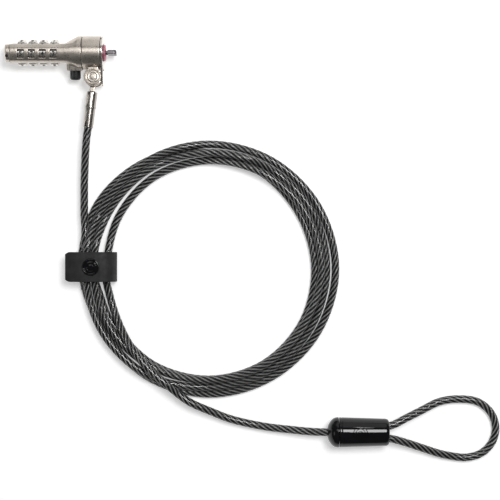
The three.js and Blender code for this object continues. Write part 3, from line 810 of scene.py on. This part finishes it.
def wheel_rim():
    """(angle, radius, enamelled) round one wheel."""
    half_profile = [(0.00, 6.60, 1), (0.05, 6.62, 0), (0.11, 6.90, 0), (0.16, 6.98, 0),
                    (0.30, 6.99, 0), (0.43, 7.0, 0)]
    other_half = [(0.57, 7.0, 0), (0.70, 6.99, 0), (0.84, 6.98, 0), (0.89, 6.90, 0),
                  (0.94, 6.62, 1), (0.97, 6.60, 1)]
    marks = []
    for face in range(10):
        for share, radius, filled in half_profile + other_half:
            marks.append((math.radians(face * 36 - 18 + 36 * share + 90), radius, filled))
    return marks


def number_wheel(number, at):
    """One wheel: a stack of rings, first at the bore and then round the rim, on its own body."""
    marks = wheel_rim()
    half = WHEEL_WIDTH / 2
    stations = [(-half, WHEEL_BORE, 0), (-half, -0.3, 1), (-half + 0.3, 0, 1), (half - 0.3, 0, 1),
                (half, -0.3, 1), (half, WHEEL_BORE, 0)]
    corners, faces, filled = [], [], []
    for along, value, on_rim in stations:
        for turn, radius, _ in marks:
            r = radius + value if on_rim else value
            corners.append((at + along, r * math.cos(turn), r * math.sin(turn)))
    count = len(marks)
    for row in range(len(stations)):
        low, high = row * count, (row + 1) % len(stations) * count
        for k in range(count):
            n = (k + 1) % count
            faces.append((low + k, low + n, high + n, high + k))
            filled.append(1 if row == 2 and marks[k][2] else 0)
    wheel = mesh_piece(f"number_wheel_{number}", corners, faces)
    wheel.data.materials.append(worn_nickel)
    wheel.data.materials.append(enamel)
    wheel.data.polygons.foreach_set("material_index", filled)
    outward(wheel)
    crisp(wheel, 25)
    wheel.data.transform(on_lock)
    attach(wheel, f"wheel_{number}")
    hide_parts(f"dial_{number}")


def digits_on_wheel(number, at, shown):
    """Ten raised digits in one piece, with the digit shown in the middle of the front window."""
    bm = bmesh.new()
    for value in range(10):
        text = bpy.data.curves.new("digit", "FONT")
        text.body = str(value)
        text.align_x = "CENTER"
        text.align_y = "CENTER"
        text.size = 3.4
        text.extrude = 0.10
        text.bevel_depth = 0.02
        text.offset = 0.06
        digit = bpy.data.objects.new("digit", text)
        bpy.context.scene.collection.objects.link(digit)
        bpy.context.view_layer.update()
        mesh = bpy.data.meshes.new_from_object(digit.evaluated_get(bpy.context.evaluated_depsgraph_get()))
        bpy.data.objects.remove(digit)
        turn = math.radians(36 * (value - shown))
        mesh.transform(
            Matrix.Translation((at, 0, 0)) @ Matrix.Rotation(turn, 4, "X")
            @ Matrix.Translation((0, 0, DIGIT_FOOT))
        )
        bm.from_mesh(mesh)
        bpy.data.meshes.remove(mesh)
    mesh = bpy.data.meshes.new(f"wheel_digits_{number}")
    bm.to_mesh(mesh)
    bm.free()
    digits = bpy.data.objects.new(f"wheel_digits_{number}", mesh)
    bpy.context.scene.collection.objects.link(digits)
    fitted(digits, on_lock, f"wheel_{number}", "satin_nickel", enamel)


for number, shown in enumerate((5, 7, 4, 3), start=1):
    at = FIRST_WHEEL + (number - 1) * WHEEL_PITCH
    number_wheel(number, at)
    digits_on_wheel(number, at, shown)

# ---------------------------------------------------------------- works inside the head
# The hubs, spindle, springs and snap ring are plain turned, stamped and wound parts. They only show
# through the gaps round the wheels, so they keep their plain shapes and get their metals' finish.
turned_brass = satin_nickel("turned_brass", (0.62, 0.46, 0.22), (0.20, 0.36), 0.00002)
plain_steel = satin_nickel("plain_steel", (0.50, 0.49, 0.48), (0.20, 0.36), 0.00002)
for node in ("hub_1", "hub_2", "hub_3", "hub_4"):
    refinish(node, turned_brass)
for node in ("spindle", "spindle_spring", "button_spring", "nose_core"):
    refinish(node, plain_steel)
refinish("retaining_ring", dark_steel)

# ---------------------------------------------------------------- nose washer and T-bar
# A translucent pink washer of soft plastic keeps the nose from scratching what it's locked to. The
# hardened T-bar passes through it. Its head is bevelled so that it finds the slot, and it was left
# turned a little out of square.


def pink_vinyl():
    material, nodes, links, shader = new_finish(
        "pink_vinyl", Roughness=0.3, IOR=1.5, Transmission_Weight=0.25, Subsurface_Weight=0.3,
        Subsurface_Scale=0.002,
    )
    tone = spread(nodes, links, noise(nodes, links, 300.0), (0.62, 0.16, 0.26), (0.78, 0.28, 0.38))
    links.new(tone, shader.inputs["Base Color"])
    relief(nodes, links, shader, noise(nodes, links, 900.0), 0.00004, 0.4)
    return material


washer = turned("soft_nose_washer", eased([
    (53.6, 1.9), (53.6, 4.4, 0.3), (54.5, 4.4, 0.4), (54.5, 1.9)]), "X", 80)
crisp(washer, 50)
fitted(washer, on_lock, "lock_body", "pink_rubber", pink_vinyl(), "nose_washer")

BAR_THICK = 1.2
BAR_LONG = 2.95
BAR_TURN = math.radians(-15)
bar_outline = eased([
    (BAR_THICK, -BAR_LONG, 0.25), (BAR_THICK, BAR_LONG, 0.25), (-BAR_THICK, BAR_LONG, 0.25),
    (-BAR_THICK, -BAR_LONG, 0.25)], closed=True)
bar = prism("t_bar_forging", bar_outline, 55.7, 60.3)
bevelled = turned("bevel", eased([
    (54, 0), (54, 3.15), (59.3, 3.15, 0.5), (60.35, 2.3, 0.3), (60.35, 0)]), "X", 80)
joined(bar, [bevelled], "INTERSECT")
shaft = turned("shaft", eased([
    (36.2, 0), (36.2, 2.5), (40.2, 2.5), (40.2, 1.4), (54.6, 1.4), (54.9, 1.1, 0.2), (56.2, 1.1),
    (56.2, 0)]), "X", 48)
joined(bar, [shaft], "UNION")
cast(bar, 0.12, 3)
bar.data.transform(Matrix.Rotation(BAR_TURN, 4, "X"))
hardened_steel = satin_nickel("hardened_steel", (0.17, 0.16, 0.17), (0.18, 0.34), 0.00003)
fitted(bar, on_lock, "locking_bar", "dark_steel", hardened_steel, "t_bar")

# ---------------------------------------------------------------- push button
# A moulded black button that stands out of the boss. Its stem reaches through the well's floor to
# the T-bar, and it's pushed back out by the spring in its hollow end.


def black_plastic(name, low, high, rough=(0.22, 0.34), index=1.58):
    """Moulded black plastic: its darkest and lightest tone, its roughness and refractive index."""
    material, nodes, links, shader = new_finish(name, IOR=index)
    tone = spread(nodes, links, noise(nodes, links, 220.0), low, high)
    links.new(tone, shader.inputs["Base Color"])
    gloss = spread(nodes, links, noise(nodes, links, 700.0), rough[0], rough[1])
    links.new(gloss, shader.inputs["Roughness"])
    relief(nodes, links, shader, noise(nodes, links, 900.0, 2.0), 0.000008, 0.5)
    return material


button = turned("moulded_button", eased([
    (4.7, 0), (4.7, 1.15), (9.9, 1.15), (9.9, 2.65), (7.6, 2.65), (7.6, 3.0), (13.4, 3.0, 0.3),
    (14.3, 2.6, 0.5), (14.6, 1.8, 0.3), (14.6, 0)]), "Y", 72)
crisp(button, 40)
moved(button, BUTTON_AT, 0, 0)
button_plastic = black_plastic("button_plastic", (0.012, 0.012, 0.013), (0.024, 0.024, 0.026))
fitted(button, on_lock, "button", "black_plastic", button_plastic, "push_button")

# ---------------------------------------------------------------- tie strap and its snap
# A moulded rubber strap goes once round the turns of cable and laps over itself. A snap fastens it:
# a plastic cap above and a pressed steel stud below, set through holes in the strap's ends.
STRAP_WIDE = 16.2
STRAP_THICK = 1.2
strap_path = [
    (23.0, 11.6), (19, 11.75), (15, 11.7), (11.5, 11.3), (8.9, 10.0), (7.4, 7.6), (7.0, 4.6),
    (7.5, 2.0), (9.2, 0.75), (12, 0.62), (18, 0.62), (25, 0.62), (28.2, 1.3), (29.35, 3.2),
    (29.2, 6.6), (27.6, 10.0), (25, 12.2), (21, 13.1), (16, 13.15), (11, 13.0), (7, 12.2),
    (2.7, 10.9),
]


def matt_rubber():
    material, nodes, links, shader = new_finish("matt_rubber", Specular_IOR_Level=0.35)
    tone = spread(
        nodes, links, noise(nodes, links, 150.0), (0.012, 0.012, 0.013), (0.026, 0.026, 0.028))
    links.new(tone, shader.inputs["Base Color"])
    links.new(spread(nodes, links, noise(nodes, links, 500.0), 0.55, 0.75), shader.inputs["Roughness"])
    relief(nodes, links, shader, noise(nodes, links, 2600.0, 3.0), 0.00005, 0.7)
    return material


def strap_ribbon():
    """The strap's section carried along its path, narrower at the free tab."""
    points = np.array([(x, z, 0.0) for x, z in strap_path])
    centre = even_steps(smooth_line(points, 1.0), 0.7)[:, :2]
    ahead = np.gradient(centre, axis=0)
    ahead /= np.linalg.norm(ahead, axis=1)[:, None]
    across = np.column_stack([-ahead[:, 1], ahead[:, 0]])
    corners, faces = [], []
    half, thick = STRAP_WIDE / 2, STRAP_THICK / 2
    section = eased([
        (-half, -thick, 0.35), (half, -thick, 0.35), (half, thick, 0.35), (-half, thick, 0.35)],
        closed=True)
    last = len(centre) - 1
    for i, (c, n) in enumerate(zip(centre, across)):
        at_tab = max(0.0, (5.0 - c[0]) / 2.6) if i > last * 0.7 else 0.0
        narrow = 1 - 0.17 * min(at_tab, 1.0) ** 1.5
        at_end = 0.72 if i in (0, last) else 1.0
        for y, t in section:
            corners.append((c[0] + n[0] * t * at_end, TIE_Y + y * narrow, c[1] + n[1] * t * at_end))
    count = len(section)
    for i in range(last):
        low, high = i * count, (i + 1) * count
        for k in range(count):
            n = (k + 1) % count
            faces.append((low + k, low + n, high + n, high + k))
    faces += [list(range(count))[::-1], list(range(last * count, (last + 1) * count))]
    strap = mesh_piece("tie_strap_ribbon", corners, faces)
    outward(strap)
    return crisp(strap, 40)


strap = strap_ribbon()
fitted(strap, MILLIMETRES, "cable_end", "black_rubber", matt_rubber(), "tie_strap")

snap = turned("snap_cap_moulding", eased([
    (12.3, 0), (12.3, 1.4), (13.72, 1.4), (13.72, 4.55, 0.2), (14.2, 4.75, 0.3), (14.75, 4.45, 0.2),
    (14.8, 4.0, 0.12), (14.45, 3.75, 0.1), (14.4, 3.2, 0.1), (14.75, 2.95, 0.1), (14.82, 2.3, 0.1),
    (14.5, 2.1, 0.08), (14.5, 1.7, 0.08), (14.86, 1.45, 0.1), (14.95, 0.6), (14.97, 0)]), "Z", 96)
crisp(snap, 40)
SNAP_X = 16.7
moved(snap, SNAP_X, TIE_Y, 0)
gloss_black = black_plastic(
    "gloss_black_plastic", (0.003, 0.003, 0.004), (0.006, 0.006, 0.007), (0.03, 0.07), 1.40)
fitted(snap, MILLIMETRES, "cable_end", "black_plastic", gloss_black, "snap_cap")
refinish("snap_stud", plain_steel)

# ---------------------------------------------------------------- sleeve over the crimp
# Two glossy black mouldings snap together over an alloy crimp: a bell where the cable comes in, and
# a slightly tapered cover, ringed on top, out of whose end both legs of the loop come.
bell = turned("sleeve_bell_moulding", eased([
    (144.9, 2.4), (144.9, 3.1, 0.25), (145.4, 4.4, 0.4), (146.6, 6.4, 0.9), (148.2, 7.75, 0.7),
    (149.8, 8.2, 0.4), (150.85, 8.26, 0.2), (150.85, 2.4)]), "X", 96)
crisp(bell, 40)
on_sleeve = MILLIMETRES @ Matrix.Translation((0, SLEEVE_Y, SLEEVE_Z))
fitted(bell, on_sleeve, "cable_end", "black_plastic", gloss_black, "sleeve_bell")

cover = turned("sleeve_cover_moulding", eased([
    (151.15, 6.0), (151.15, 8.12, 0.25), (152.2, 8.14), (152.5, 8.02, 0.1), (152.8, 8.12, 0.1),
    (164, 7.78), (176.6, 7.4, 0.5), (177.9, 6.9, 0.6), (178.2, 5.6, 0.3), (178.2, 0), (175.2, 0),
    (175.2, 6.0)]), "X", 96)
cuts = [drilled(2.45, 170, 180, "X", 48, (0, side * LEG_APART / 2, 0)) for side in (-1, 1)]
RINGS_AT = 162.2
for inner, outer in ((3.65, 4.05), (2.55, 2.85), (1.4, 1.65)):
    groove = turned("groove", [(7.0, inner), (7.0, outer), (9, outer), (9, inner)], "Z", 64)
    cuts.append(moved(groove, RINGS_AT, 0, 0))
joined(cover, cuts, "DIFFERENCE")
crisp(cover, 30)
fitted(cover, on_sleeve, "cable_end", "black_plastic", gloss_black, "sleeve_cover")
refinish("loop_crimp", satin_nickel("pressed_alloy", (0.66, 0.67, 0.68), (0.28, 0.42), 0.00003))
